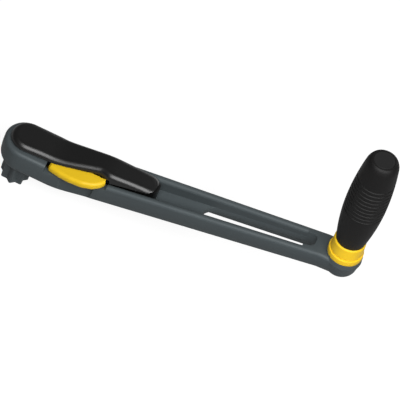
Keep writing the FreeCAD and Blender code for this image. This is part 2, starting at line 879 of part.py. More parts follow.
def make_lever():
    body = new_body("lock_lever")
    px = of("pivot_x")
    outer = of("head_half")
    plan = sketch_on(body, "lever_outline", "XY_Plane", offset=8)
    draw(plan, [
        (of("notch_start") + 1.6, -(outer - 2.4)),
        (px + 6, -(outer + 1.3)),
        (px + 15, -(outer + 3.2)),
        (px + 25, -(outer + 4.0)),
        (px + 33.3, -(outer + 2.5)),
        (px + 38, -(outer - 0.4)),
        (of("notch_end") - 1.7, -(outer - 3.6)),
        (of("notch_end") - 2.7, -(outer - 7)),
        (px + 9, -5.5),
        (of("notch_start") + 1.6, -5.5),
    ])
    pad(body, plan, 36, "lever_block")
    top_line = sketch_on(body, "lever_top_line", "XZ_Plane")
    draw(top_line, [
        (0, lever_top(0)),
        (100, lever_top(100)),
        (100, 60),
        (0, 60),
    ])
    pocket_both_ways(body, top_line, 80, "lever_top_cut")
    base_line = sketch_on(body, "lever_base_line", "XZ_Plane")
    draw(base_line, [
        (0, lever_top(0) - of("lever_thick")),
        (100, lever_top(100) - of("lever_thick")),
        (100, -5),
        (0, -5),
    ])
    pocket_both_ways(body, base_line, 80, "lever_base_cut")
    round_edges(body, "lever_corners", 3.0, lever_side_corner)
    round_edges(body, "lever_rounds", 1.8, lever_outer_edge)

    hub_base = of("bay_floor") + of("crank_lift")
    hub = sketch_on(body, "hub_circle", "XY_Plane", offset=hub_base)
    draw_circle(hub, px, of("pivot_y"), of("hub_radius"))
    pad(body, hub, lever_top(px) - 2.5 - hub_base, "hub")
    arm = sketch_on(body, "drive_arm_outline", "XY_Plane", offset=of("drive_arm_low"))
    long = size(centre_distance * pin_share)
    draw(arm, [
        from_pivot(size(0), of("hub_radius")),
        from_pivot(size(0), -of("hub_radius")),
        from_pivot(long, size(-3.4)) + (3.4, True),
        from_pivot(long + 3.4, size(0)) + (3.4, True),
        from_pivot(long, size(3.4)),
    ])
    pad(body, arm, of("drive_arm_thick"), "drive_arm")
    hole = sketch_on(body, "lever_bore_circle", "XY_Plane", offset=50)
    draw_circle(hole, px, of("pivot_y"), of("pivot_radius") + of("running_gap"))
    pocket(body, hole, 60, "lever_bore")
    pin = sketch_on(body, "drive_pin_hole_circle", "XY_Plane", offset=of("drive_arm_low") + 10)
    place = pin_place()
    draw_circle(pin, place[0], place[1], of("drive_pin_radius"))
    pocket(body, pin, 12, "drive_pin_hole")


def lever_side_corner(edge):
    """The upright edges on the lever's outer side."""
    box = edge.BoundBox
    upright = box.ZMax - box.ZMin > 3 and box.XMax - box.XMin < 0.1
    return upright and box.YMax < -(SIZES["head_half"] - 5)


def lever_outer_edge(edge):
    """The edges of the lever's top and underside on its outer side."""
    box = edge.BoundBox
    middle = edge.valueAt((edge.FirstParameter + edge.LastParameter) / 2)
    slanted = box.XMax - box.XMin > 0.5
    return slanted and middle.y < -(SIZES["head_half"] - 3.2)


def make_pins_and_springs():
    pin = new_body("lever_pivot_pin")
    circle = sketch_on(pin, "pivot_pin_circle", "XY_Plane", offset=3)
    draw_circle(circle, of("pivot_x"), of("pivot_y"), of("pivot_radius"))
    pad(pin, circle, lever_top(of("pivot_x")) - 0.6 - 3, "pivot_pin")

    drive = new_body("lever_drive_pin")
    place = pin_place()
    circle = sketch_on(drive, "drive_pin_circle", "XY_Plane", offset=crank_base + 0.3)
    draw_circle(circle, place[0], place[1], of("drive_pin_radius"))
    pad(drive, circle, of("drive_arm_low") + of("drive_arm_thick") - crank_base - 0.3, "drive_pin")

    spring = new_body("lever_spring")
    low = of("bay_floor") + of("spring_wire")
    wire = sketch_on(spring, "spring_wire_circle", "XZ_Plane", offset=-of("pivot_y"), shift=of("pivot_x"))
    draw_circle(wire, of("spring_coil"), low, of("spring_wire"))
    coil = spring.newObject("PartDesign::AdditiveHelix", "coil")
    coil.Profile = wire
    coil.ReferenceAxis = (wire, ["V_Axis"])
    coil.Mode = 1
    coil.setExpression("Pitch", (of("spring_wire") * 2 + 0.2).formula)
    coil.setExpression("Height", ((of("spring_wire") * 2 + 0.2) * 2.5).formula)
    return spring


def make_spindle():
    body = new_body("lock_spindle")
    shaft = sketch_on(body, "shaft_profile", "XZ_Plane")
    radius = of("spindle_radius")
    groove = of("seal_height")
    draw(shaft, [
        (0, plate_top),
        (radius, plate_top),
        (radius, groove - of("seal_groove")),
        (radius - of("seal_section") * 2 + of("bore_gap"), groove - of("seal_groove")),
        (radius - of("seal_section") * 2 + of("bore_gap"), groove + of("seal_groove")),
        (radius, groove + of("seal_groove")),
        (radius, crank_base),
        (0, crank_base),
    ])
    turn(body, shaft, "shaft")
    top = sketch_on(body, "top_square", "XY_Plane", offset=crank_base)
    square(top, of("square_half"))
    pad(body, top, of("crank_thick") - 0.2, "crank_square")
    low = sketch_on(body, "low_square", "XY_Plane", offset=plate_top)
    square(low, of("square_half"))
    pad(body, low, of("square_step"), "plate_square", back=True)
    upper = sketch_on(body, "crank_thread_circle", "XY_Plane", offset=crank_top)
    draw_circle(upper, 0, 0, of("screw_radius"))
    pocket(body, upper, 9, "crank_thread")
    lower = sketch_on(body, "plate_thread_circle", "XY_Plane", offset=plate_top - of("square_step"))
    draw_circle(lower, 0, 0, of("plate_screw_radius"))
    pocket(body, lower, 10, "plate_thread", back=True)

    seal_radius = radius + of("bore_gap") - of("seal_section")
    seal = new_body("spindle_seal")
    ring = sketch_on(seal, "seal_circle", "XZ_Plane")
    draw_circle(ring, seal_radius, groove, of("seal_section"))
    turn(seal, ring, "seal_ring")

    turned_piece("spindle_bush", [
        (radius + of("running_gap"), 4),
        (radius + of("bush_wall"), 4),
        (radius + of("bush_wall"), of("bay_floor")),
        (radius + of("running_gap"), of("bay_floor")),
    ])

    plate = new_body("lock_plate")
    outline = sketch_on(plate, "plate_outline", "XY_Plane", offset=plate_top)
    draw(outline, star_outline(of("plate_inset")))
    pad(plate, outline, of("plate_thick"), "plate", back=True)
    recess = sketch_on(plate, "plate_recess", "XY_Plane", offset=plate_top)
    square(recess, of("square_half"))
    pocket(plate, recess, of("square_step"), "plate_recess_cut")
    sink = sketch_on(plate, "plate_sink_profile", "XZ_Plane")
    bottom = plate_top - of("plate_thick")
    draw(sink, [
        (0, bottom),
        (of("plate_screw_head"), bottom),
        (of("plate_screw_radius"), bottom + 2),
        (of("plate_screw_radius"), plate_top),
        (0, plate_top),
    ])
    turn(plate, sink, "plate_sink", cut=True)

    screw = new_body("plate_screw")
    profile = sketch_on(screw, "plate_screw_profile", "XZ_Plane")
    draw(profile, [
        (0, bottom),
        (of("plate_screw_head"), bottom),
        (of("plate_screw_radius"), bottom + 2),
        (of("plate_screw_radius"), bottom + 11),
        (0, bottom + 11),
    ])
    turn(screw, profile, "plate_screw_turned")
    socket = sketch_on(screw, "plate_screw_socket", "XY_Plane", offset=bottom)
    draw(socket, hexagon(0, 0, 1.45))
    pocket(screw, socket, 1.6, "plate_screw_socket_cut", back=True)

    crank = new_body("spindle_crank")
    hub = sketch_on(crank, "crank_hub_circle", "XY_Plane", offset=crank_base)
    draw_circle(hub, 0, 0, of("crank_hub"))
    pad(crank, hub, of("crank_thick"), "crank_hub")
    fork = sketch_on(crank, "fork_outline", "XY_Plane", offset=crank_base)
    draw(fork, [
        from_star(0, 4.3),
        from_star(0, -4.3),
        from_star(of("crank_tip"), -3.9),
        from_star(of("crank_tip"), 3.9),
    ])
    pad(crank, fork, of("crank_thick"), "fork")
    slot_half = of("drive_pin_radius") + of("fork_gap")
    slot = sketch_on(crank, "fork_slot_outline", "XY_Plane", offset=crank_top)
    draw(slot, [
        from_star(of("crank_hub") + 0.7, slot_half),
        from_star(of("crank_hub") + 0.7, -slot_half),
        from_star(of("crank_tip") + 1, -slot_half),
        from_star(of("crank_tip") + 1, slot_half),
    ])
    pocket(crank, slot, of("crank_thick"), "fork_slot")
    keyhole = sketch_on(crank, "crank_square_hole", "XY_Plane", offset=crank_top)
    square(keyhole, of("square_half"))
    pocket(crank, keyhole, of("crank_thick"), "crank_square_cut")

    turned_piece("crank_screw", [
        (0, crank_top - 7),
        (of("screw_radius"), crank_top - 7),
        (of("screw_radius"), crank_top),
        (4.2, crank_top),
        (4.2, crank_top + 1.4),
        (3.6, crank_top + 2),
        (0, crank_top + 2),
    ])


def belly(height):
    """Radius of the grip at a height above the boss's land."""
    away = size(height) - of("belly_height")
    below = of("belly_height") - of("neck_height")
    return of("grip_belly") - (of("grip_belly") - of("grip_neck")) * (away * away) / (below * below)


def upper_belly(height):
    away = size(height) - of("belly_height")
    return of("grip_belly") - away * away / 600


def make_grip():
    land = collar_base
    core = of("core_radius")
    bush_out = of("axle_radius") + of("grip_bush_wall")
    floor = land + of("grip_gap")
    cuff = of("neck_height")
    spigot = cuff - 5

    turned_piece("grip_collar", [
        (core, floor + of("washer_thick")),
        (of("axle_head_radius") + 1.4, floor + of("washer_thick")),
        (of("axle_head_radius") + 1.4, floor),
        (of("collar_radius") - 0.5, floor, 0.5, True),
        (of("collar_radius"), floor + 0.5),
        (of("collar_radius"), land + of("collar_flange") - 0.5, 0.5, True),
        (of("collar_radius") - 0.5, land + of("collar_flange")),
        (of("collar_radius") - 1, land + of("collar_flange")),
        (of("collar_radius") - 1, land + of("collar_flange") + 0.7),
        (of("collar_upper"), land + of("collar_flange") + 1.1),
        (of("collar_lip") + 0.6, land + cuff - 1.2, 1.4, True),
        (of("collar_lip") - 0.6, land + cuff),
        (of("grip_neck") - 1.2, land + cuff),
        (of("grip_neck") - 1.2, land + spigot),
        (core, land + spigot),
    ], x=reach)

    profile = [
        (core, land + spigot),
        (of("grip_neck") - 1.2, land + spigot),
        (of("grip_neck") - 1.2, land + cuff),
        (of("grip_neck"), land + cuff,
         easing(of("belly_height") - of("neck_height"), of("grip_belly") - of("grip_neck")), True),
    ]
    first_ring = of("belly_height") - 8.9
    for ring in range(RINGS):
        low = first_ring + of("ring_pitch") * ring
        radius = belly if ring < 3 else upper_belly
        profile.append((radius(low), land + low))
        profile.append((radius(low + 0.5) - of("ring_depth"), land + low + 0.5))
        profile.append((radius(low + 0.9) - of("ring_depth"), land + low + 0.9))
        profile.append((radius(low + 1.4), land + low + 1.4))
    last = first_ring + of("ring_pitch") * (RINGS - 1) + 1.4
    shoulder = of("grip_height") - 6.2
    profile[-1] = (upper_belly(last), land + last, 300, True)
    top = land + of("grip_height")
    profile += [
        (upper_belly(shoulder), land + shoulder, 6.4, True),
        (of("grip_top_radius") - 1, top),
        (of("grip_top_radius") - 1.6, top),
        (of("grip_top_radius") - 1.6, top - 2.5),
        (core - 0.5, top - 2.5),
        (core - 0.5, land + axle_top + 6),
        (core, land + axle_top + 6),
    ]
    turned_piece("grip_sleeve", profile, x=reach)

    turned_piece("grip_core", [
        (bush_out, floor + of("washer_thick")),
        (core, floor + of("washer_thick")),
        (core, land + axle_top + 6),
        (bush_out, land + axle_top + 6),
    ], x=reach)

    turned_piece("grip_cap", [
        (0, top - 2.5),
        (of("grip_top_radius") - 1.6, top - 2.5),
        (of("grip_top_radius") - 1.6, top - 0.3),
        (of("grip_top_radius") - 1.9, top),
        (0, top),
    ], x=reach)

    axle_wall = of("axle_radius") + of("running_gap")
    turned_piece("lower_bush", [
        (axle_wall, floor + of("washer_thick")),
        (bush_out, floor + of("washer_thick")),
        (bush_out, floor + of("washer_thick") + of("grip_bush_length")),
        (axle_wall, floor + of("washer_thick") + of("grip_bush_length")),
    ], x=reach)
    turned_piece("upper_bush", [
        (axle_wall, land + axle_top - 0.1 - of("grip_bush_length")),
        (bush_out, land + axle_top - 0.1 - of("grip_bush_length")),
        (bush_out, land + axle_top - 0.1),
        (axle_wall, land + axle_top - 0.1),
    ], x=reach)
    turned_piece("thrust_washer", [
        (of("axle_radius") + 0.05, land),
        (of("axle_head_radius") + 1.2, land),
        (of("axle_head_radius") + 1.2, land + of("washer_thick")),
        (of("axle_radius") + 0.05, land + of("washer_thick")),
    ], x=reach)

    head_top = of("boss_top") - of("boss_depth") + of("axle_head_thick") + 1
    turned_piece("grip_axle", [
        (0, head_top - of("axle_head_thick") + 1.2),
        (3.4, head_top - of("axle_head_thick") + 1.2),
        (3.4, head_top - of("axle_head_thick")),
        (of("axle_head_radius") - 0.1, head_top - of("axle_head_thick")),
        (of("axle_head_radius") - 0.1, head_top),
        (of("axle_radius"), head_top),
        (of("axle_radius"), land + axle_top),
        (of("screw_radius") + 1, land + axle_top),
        (of("screw_radius") + 1, land + axle_top - 12),
        (0, land + axle_top - 12),
    ], x=reach)
    washer_low = land + axle_top
    turned_piece("axle_washer", [
        (of("screw_radius") + 1, washer_low),
        (bush_out - 0.4, washer_low),
        (bush_out - 0.4, washer_low + of("washer_thick")),
        (of("screw_radius") + 1, washer_low + of("washer_thick")),
    ], x=reach)
    turned_piece("axle_screw", [
        (0, washer_low - 10),
        (of("screw_radius") + 1, washer_low - 10),
        (of("screw_radius") + 1, washer_low + of("washer_thick")),
        (4.6, washer_low + of("washer_thick")),
        (4.6, washer_low + of("washer_thick") + 1.8),
        (3.9, washer_low + of("washer_thick") + 2.4),
        (0, washer_low + of("washer_thick") + 2.4),
    ], x=reach)


def check_and_write(names):
    doc.recompute()
    os.makedirs("parts", exist_ok=True)
    for item in doc.Objects:
        if "Invalid" in item.State or "Error" in item.State:
            raise RuntimeError("%s did not build: %s" % (item.Label, item.State))
    for name in names:
        shape = doc.getObject(name).Shape
        if shape.isNull() or not shape.isValid():
            raise RuntimeError("%s has no valid shape" % name)
        box = shape.BoundBox
        print("%-18s solids %d volume %.1f  x %.1f..%.1f y %.1f..%.1f z %.1f..%.1f" % (
            name, len(shape.Solids), shape.Volume,
            box.XMin, box.XMax, box.YMin, box.YMax, box.ZMin, box.ZMax))
        shape.exportStep("parts/%s.step" % name)


make_casting()
make_cover()
make_screw("cover_screw_front", of("post_x"), of("post_y"), front_screw_seat, of("screw_length"))
make_screw("cover_screw_tail", of("tail_screw_x"), 0, tail_screw_seat, of("screw_length"))
make_lever()
make_pins_and_springs()
make_spindle()
make_grip()
bodies = [item.Name for item in doc.Objects if item.TypeId == "PartDesign::Body"]
check_and_write([name for name in bodies if name != "seam_ring"])
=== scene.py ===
# %% [markdown]
# # A lock-in winch handle, dressed for its portrait
# The handle comes from CAD as a set of finished solids. Blender adds what a
# solid model has no room for: the softened edges of a casting, the grain of a
# moulded grip, and the light that shows them. The solids stay where they are,
# because the joints and the collision shapes are measured from them.

import json
import math

import bmesh
import bpy
from mathutils import Matrix, Vector

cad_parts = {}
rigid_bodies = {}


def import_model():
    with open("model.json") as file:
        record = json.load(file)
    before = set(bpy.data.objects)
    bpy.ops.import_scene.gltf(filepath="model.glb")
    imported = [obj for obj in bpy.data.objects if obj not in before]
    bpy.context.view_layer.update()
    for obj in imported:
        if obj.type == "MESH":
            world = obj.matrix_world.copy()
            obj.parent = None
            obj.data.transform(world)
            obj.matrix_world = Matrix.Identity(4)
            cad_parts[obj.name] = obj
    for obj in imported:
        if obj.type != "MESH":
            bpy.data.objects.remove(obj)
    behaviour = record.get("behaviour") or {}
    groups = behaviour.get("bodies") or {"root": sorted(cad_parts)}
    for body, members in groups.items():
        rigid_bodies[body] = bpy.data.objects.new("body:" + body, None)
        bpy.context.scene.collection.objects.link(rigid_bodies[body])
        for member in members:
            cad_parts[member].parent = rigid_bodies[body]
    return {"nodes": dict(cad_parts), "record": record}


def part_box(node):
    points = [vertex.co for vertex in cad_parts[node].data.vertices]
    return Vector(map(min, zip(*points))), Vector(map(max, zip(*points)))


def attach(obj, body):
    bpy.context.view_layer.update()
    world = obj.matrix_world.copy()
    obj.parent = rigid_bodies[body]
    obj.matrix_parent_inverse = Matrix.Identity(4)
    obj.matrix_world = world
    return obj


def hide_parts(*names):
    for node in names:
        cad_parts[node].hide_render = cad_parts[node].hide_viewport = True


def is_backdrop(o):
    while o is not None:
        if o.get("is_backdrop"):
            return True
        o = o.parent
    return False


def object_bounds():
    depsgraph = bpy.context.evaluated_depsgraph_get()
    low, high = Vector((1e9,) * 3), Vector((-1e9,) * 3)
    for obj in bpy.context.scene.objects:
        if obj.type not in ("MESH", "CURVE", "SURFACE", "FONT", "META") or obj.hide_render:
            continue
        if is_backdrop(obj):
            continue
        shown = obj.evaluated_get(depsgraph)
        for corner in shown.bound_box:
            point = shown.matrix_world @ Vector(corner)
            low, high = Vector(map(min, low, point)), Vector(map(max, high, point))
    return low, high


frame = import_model()
cad_low, cad_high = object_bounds()
MM = 0.001

# %% [markdown]
# Shader maths is easier to follow as arithmetic than as a web of boxes. The
# first class below wraps one socket, so that `0.4 + grain * 0.1` adds the two
# Math nodes by itself. Every other node comes from `Web.node`, which takes the
# node's type, its settings and what goes into its sockets. `Finish` is a web
# with a main shader, and knows the few patterns that all finishes share.

# %% Sockets that add and multiply
class Wire:
    """One output socket, with arithmetic."""

    def __init__(self, web, socket):
        self.web = web
        self.socket = socket

    def maths(self, operation, first, second):
        return self.web.node("ShaderNodeMath", {"operation": operation}, {0: first, 1: second})

    def __add__(self, other):
        return self.maths("ADD", self, other)

    def __mul__(self, other):
        return self.maths("MULTIPLY", self, other)

    def __radd__(self, other):
        return self.maths("ADD", other, self)

    def __rmul__(self, other):
        return self.maths("MULTIPLY", other, self)

    def at_least(self, other):
        return self.maths("MAXIMUM", self, other)

    def sibling(self, output):
        """Another output of the same node."""
        return Wire(self.web, self.socket.node.outputs[output])


print("a wire has + and * and", ", ".join(name for name in vars(Wire) if name[0] != "_"))

# %% One way to add a node
class Web:
    """The nodes of one material, or of the world."""

    def __init__(self, owner):
        owner.use_nodes = True
        self.tree = owner.node_tree

    def node(self, kind, settings, values, output=0):
        made = self.tree.nodes.new(kind)
        for name, value in settings.items():
            setattr(made, name, value)
        for name, value in values.items():
            self.feed(made.inputs[name], value)
        return Wire(self, made.outputs[output])

    def feed(self, socket, value):
        if isinstance(value, Wire):
            self.tree.links.new(value.socket, socket)
        elif socket.type == "RGBA":
            socket.default_value = (*value, 1.0)
        else:
            socket.default_value = value


print("a web has", ", ".join(name for name in vars(Web) if name[0] != "_"))

# %% A material under construction
class Finish(Web):
    """A material with its main shader ready."""

    def __init__(self, name, metallic=0.0, specular=0.5):
        self.material = bpy.data.materials.new(name)
        super().__init__(self.material)
        self.shader = self.tree.nodes["Principled BSDF"]
        self.shader.inputs["Metallic"].default_value = metallic
        self.shader.inputs["Specular IOR Level"].default_value = specular
        self.place = self.node("ShaderNodeTexCoord", {}, {}, "Object")

    def noise(self, per_metre, detail=2.0, place=None):
        values = {"Vector": place or self.place, "Scale": per_metre, "Detail": detail}
        return self.node("ShaderNodeTexNoise", {}, values, "Fac")

    def mix(self, share, first, second):
        """Blends two colours. Sockets 6 and 7 of a Mix node are its colour pair."""
        values = {0: share, 6: first, 7: second}
        return self.node("ShaderNodeMix", {"data_type": "RGBA"}, values, 2)

    def stretched(self, x, y, z):
        return self.node("ShaderNodeMapping", {}, {"Vector": self.place, "Scale": (x, y, z)})

    def bump(self, height, strength, distance):
        values = {"Height": height, "Strength": strength, "Distance": distance}
        return self.node("ShaderNodeBump", {}, values, "Normal")

    def done(self, **sockets):
        for name, value in sockets.items():
            self.feed(self.shader.inputs[name.replace("_", " ")], value)
        return self.material


def srgb(red, green, blue):
    """A colour as a paint chart gives it, 0 to 255, in the light values a shader needs."""
    def linear(value):
        value = value / 255
        return value / 12.92 if value < 0.04045 else ((value + 0.055) / 1.055) ** 2.4
    return (linear(red), linear(green), linear(blue))


print("middle grey in light values:", round(srgb(128, 128, 128)[0], 3))

# %% [markdown]
# The arm is an alloy casting with a slate-grey anodised skin. Such a skin is
# smooth to the hand but breaks up reflections, and its tone drifts slightly
# over a casting's thick and thin parts. Three noises do this: a broad one
# tints the colour, and two finer ones, cloud and grain, roughen the shine.

# %% Slate-grey alloy
def make_alloy():
    finish = Finish("slate_alloy", metallic=0.12, specular=0.2)
    drift = finish.noise(per_metre=22)
    cloud = finish.noise(per_metre=240, detail=3.0)
    grain = finish.noise(per_metre=1900)
    colour = finish.mix(drift, srgb(69, 76, 79), srgb(77, 84, 86))
    roughness = 0.38 + grain * 0.08 + cloud * 0.06
    skin = finish.bump(grain, strength=0.12, distance=0.12 * MM)
    return finish.done(Base_Color=colour, Roughness=roughness, Normal=skin)


alloy = make_alloy()
print("made", alloy.name)

# %% [markdown]
# The cover and the grip are both black, but not the same black. The cover is a
# soft-touch moulding with an almost invisible leathery texture. The grip is
# rubbery, with a pebbled grain that catches the light in specks. A Voronoi
# pattern gives pebbles, a noise gives the leather.

# %% Black cover and black grip
def make_cover_black():
    finish = Finish("soft_touch_black", specular=0.7)
    leather = finish.noise(per_metre=1500, detail=4.0)
    drift = finish.noise(per_metre=35)
    colour = finish.mix(drift, srgb(4, 4, 4), srgb(7, 7, 7))
    skin = finish.bump(leather, strength=0.18, distance=0.15 * MM)
    return finish.done(Base_Color=colour, Roughness=0.3 + leather * 0.08, Normal=skin)


def make_grip_black():
    finish = Finish("grained_grip_black", specular=0.24)
    values = {"Vector": finish.place, "Scale": 1300.0}
    pebbles = finish.node("ShaderNodeTexVoronoi", {"feature": "SMOOTH_F1"}, values, "Distance")
    specks = finish.noise(per_metre=1700)
    colour = finish.mix(specks, srgb(4, 4, 4), srgb(22, 21, 21))
    skin = finish.bump(pebbles + specks * 0.6, strength=0.4, distance=0.2 * MM)
    return finish.done(Base_Color=colour, Roughness=0.42 + specks * 0.2, Normal=skin)


cover_black = make_cover_black()
grip_black = make_grip_black()
print("made", cover_black.name, "and", grip_black.name)

# %% [markdown]
# The lever and the collar are moulded in signal yellow, so that a hand finds
# them in a hurry. Moulded plastic has a satin shine under a faint orange-peel
# texture, and the pigment is never perfectly even. The lever's yellow is set a shade darker than
# the collar's: painted shade for the cover's shade over the lever's top.

# %% Signal yellow
def make_yellow(name, first, second):
    finish = Finish(name, specular=0.22)
    drift = finish.noise(per_metre=60)
    peel = finish.noise(per_metre=700)
    colour = finish.mix(drift, first, second)
    skin = finish.bump(peel, strength=0.1, distance=0.2 * MM)
    return finish.done(Base_Color=colour, Roughness=0.3 + peel * 0.1, Normal=skin)


# painted shade: the lever's yellow is darker than the collar's, standing in for the shade that the
# cover casts over the lever's top
lever_yellow = make_yellow("lever_yellow", srgb(224, 184, 30), srgb(230, 191, 37))
collar_yellow = make_yellow("collar_yellow", srgb(238, 194, 34), srgb(244, 202, 44))
print("made", lever_yellow.name, "and", collar_yellow.name)

# %% [markdown]
# The small parts inside are turned stainless steel, pale bearing plastic, a
# black plastic tube and a rubber ring. Turned metal shows rings round its
# axis, which a noise squeezed along Z imitates on every upright part.

# %% Steel, bearing plastic and rubber
def make_steel():
    finish = Finish("turned_stainless", metallic=1.0)
    rings = finish.noise(per_metre=900, place=finish.stretched(0.05, 0.05, 1.0))
    colour = finish.mix(rings, srgb(182, 183, 184), srgb(205, 206, 206))
    skin = finish.bump(rings, strength=0.15, distance=0.1 * MM)
    return finish.done(Base_Color=colour, Roughness=0.22 + rings * 0.16, Normal=skin)


def make_plain_plastic(name, first, second, roughness):
    finish = Finish(name, specular=0.25)
    drift = finish.noise(per_metre=80)
    peel = finish.noise(per_metre=1100)
    colour = finish.mix(drift, first, second)
    skin = finish.bump(peel, strength=0.12, distance=0.1 * MM)
    return finish.done(Base_Color=colour, Roughness=roughness + peel * 0.1, Normal=skin)


steel = make_steel()
bearing_plastic = make_plain_plastic(
    "bearing_plastic", srgb(226, 223, 212), srgb(234, 231, 221), roughness=0.35)
inner_plastic = make_plain_plastic(
    "inner_plastic", srgb(25, 25, 25), srgb(30, 30, 30), roughness=0.5)
seal_rubber = make_plain_plastic(
    "seal_rubber", srgb(20, 20, 20), srgb(25, 25, 25), roughness=0.6)
print("made", steel.name, bearing_plastic.name, inner_plastic.name, seal_rubber.name)

# %% Give each solid its finish
FINISH_OF_SLOT = {
    "alloy": alloy,
    "cover_black": cover_black,
    "lever_yellow": lever_yellow,
    "collar_yellow": collar_yellow,
    "grip_black": grip_black,
    "inner_plastic": inner_plastic,
    "bearing_plastic": bearing_plastic,
    "seal_rubber": seal_rubber,
    "stainless": steel,
}
SLOT_OF_NODE = {part["node"]: part["material_slot"] for part in frame["record"]["subparts"]}

for name, part in frame["nodes"].items():
    part.data.materials.clear()
    part.data.materials.append(FINISH_OF_SLOT[SLOT_OF_NODE[name]])
print("finishes given to", len(frame["nodes"]), "solids")

# %% [markdown]
# A CAD solid arrives as loose triangles with knife-sharp edges, and no real
# casting or moulding has those. The helpers below work on a copy: they merge
# the triangles into faces, round each sharp edge by a fraction of a
# millimetre, and shade the rest smoothly. The copy stands in for its solid.

# %% Let a new piece stand for a solid
BODY_OF_NODE = {
    node: body
    for body, nodes in frame["record"]["behaviour"]["bodies"].items()
    for node in nodes
}
WELD = 2e-6                     # metres: corners closer than this are one corner


def solid_copy(node):
    """A copy of a CAD node's mesh with its loose triangles joined."""
    shape = bmesh.new()
    shape.from_mesh(frame["nodes"][node].data)
    bmesh.ops.remove_doubles(shape, verts=shape.verts[:], dist=WELD)
    return shape


def placed(shape, name, node, smooth_below=32.0):
    """Makes an object of a finished shape and lets it stand for a CAD node."""
    mesh = bpy.data.meshes.new(name)
    shape.to_mesh(mesh)
    shape.free()
    piece = bpy.data.objects.new(name, mesh)
    bpy.context.scene.collection.objects.link(piece)
    mesh.shade_smooth()
    mesh.set_sharp_from_angle(angle=math.radians(smooth_below))
    mesh.materials.append(FINISH_OF_SLOT[SLOT_OF_NODE[node]])
    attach(piece, BODY_OF_NODE[node])
    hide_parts(node)
    return piece


print("nodes that know their body:", len(BODY_OF_NODE))

# %% Soften the casting and the lock plate
FLAT = math.radians(0.6)        # faces that differ by less are one face
SHARP = math.radians(28.0)      # edges that turn by more are rounded


def softened(node, width):
    """Stands a copy with rounded edges in a solid's place, width in millimetres."""
    shape = solid_copy(node)
    bmesh.ops.dissolve_limit(
        shape, angle_limit=FLAT, verts=shape.verts[:], edges=shape.edges[:])
    hard = [
        edge for edge in shape.edges
        if len(edge.link_faces) == 2 and edge.calc_face_angle(0.0) > SHARP
    ]
    bmesh.ops.bevel(
        shape, geom=hard, offset=width * MM, offset_type="OFFSET", affect="EDGES",
        segments=2, profile=0.5, material=-1, clamp_overlap=True, loop_slide=True,
    )
    return placed(shape, node + "_soft", node)


for node, width in (("arm_casting", 0.5), ("lock_plate", 0.2)):
    piece = softened(node, width)
    print(piece.name, "faces", len(piece.data.polygons))

# %% [markdown]
# The black cover is what the eye meets first, and its charm is a broad round
# shoulder that catches one long highlight. It is laid out like a boat's hull
# upside down: a closed line runs round the foot, and each point of it has a
# rib that climbs the wall, rolls over the shoulder and meets its neighbours on
# the middle line. Over the lever the ribs stand further in, so that a thumb
# finds the yellow, and a raised roof inside leaves it room to swing. A narrow
# skirt under the edge leaves a dark shadow gap.

# %% Sizes of the cover
# All in millimetres, in the frame of the solids.
RISE = 36.7 / 199               # the arm climbs by this for each millimetre
CLIMB_FROM = 39.0               # and starts to climb here
RIM = 21.8                      # the head's top, which carries the cover
SLICE_ABOVE_RIM = 0.4           # the solid under the cover is kept up to here
SHOULDER = 4.7                  # radius of the shoulder
DRAFT = math.radians(11)        # lean of the walls
LIP = 0.3                       # small slope at the wall's lower edge
NOSE_X, NOSE_HALF = 1.0, 14.4   # round end over the star, and half the width there
TAIL_X, TAIL_HALF = 97.8, 12.5  # round end on the arm
SEAM = 1.4                      # depth of the shadow gap
LEVER_START, LEVER_END = 20.0, 70.0
LEVER_TOP_X, LEVER_TOP = 30.0, 23.5  # a place on the lever, and how high its top is there
LEVER_ROOM = 0.5                # left free over the lever
ROOF_HALF, ROOF_FOOT = 6.0, 6.6  # half widths of the raised roof inside

# Each line is a row of (x, value): the seam's height, the top's height, and
# how much narrower the near side is.
SEAM_LINE = ((-20, 1.4), (76, 1.4), (98, 0.4), (130, 0.4))
COVER_TOP = ((-20, 27.4), (28.5, 27.4), (65.3, 36.4), (92, 36.4), (112, 35.8), (130, 35.8))
COVER_CUT = (
    (-20, 0.0), (4, 0.0), (14, 0.7), (34, 0.8), (46, 1.6), (57, 2.4), (63.5, 2.6),
    (67, -0.6), (74, -0.7), (84, 0.1), (97, 0.9), (130, 0.9),
)
TOP_EASE, CUT_EASE = 7.0, 3.0   # reach over which those corners are rounded off
EASE_STEPS = 4                  # samples to each side of a place
print("cover is", round(TAIL_X + TAIL_HALF - NOSE_X + NOSE_HALF, 1), "mm long")

# %% Lines of the cover
def line_through(stops, x):
    """Value of a line of straight runs at one place."""
    for (start, low), (end, high) in zip(stops, stops[1:]):
        if x <= end:
            return low + (high - low) * (x - start) / (end - start)
    return stops[-1][1]


def eased(stops, x, reach):
    """The same line with its corners rounded off over a reach."""
    steps = range(-EASE_STEPS, EASE_STEPS + 1)
    return sum(line_through(stops, x + reach * step / EASE_STEPS) for step in steps) / len(steps)


def rail(x):
    return RIM + max(0.0, x - CLIMB_FROM) * RISE


def lever_height(x):
    """The lever's top climbs with the arm."""
    return LEVER_TOP + RISE * (x - LEVER_TOP_X)


def half_width(x):
    return NOSE_HALF + (TAIL_HALF - NOSE_HALF) * (x - NOSE_X) / (TAIL_X - NOSE_X)


def over_lever(x, near_side):
    return near_side and LEVER_START < x < LEVER_END


def edge_height(x, near_side):
    """Lower edge of the cover's wall, above the rim and clear of the lever."""
    low = rail(x) + line_through(SEAM_LINE, x)
    return max(low, lever_height(x) + LEVER_ROOM) if over_lever(x, near_side) else low


print("wall's edge over the lever at", round(edge_height(45, True), 1), "mm")

# %% Wall and shoulder of one rib
ROLL_STEPS = 8
LAST_START = 0.95               # the shoulder starts at this sine at the latest


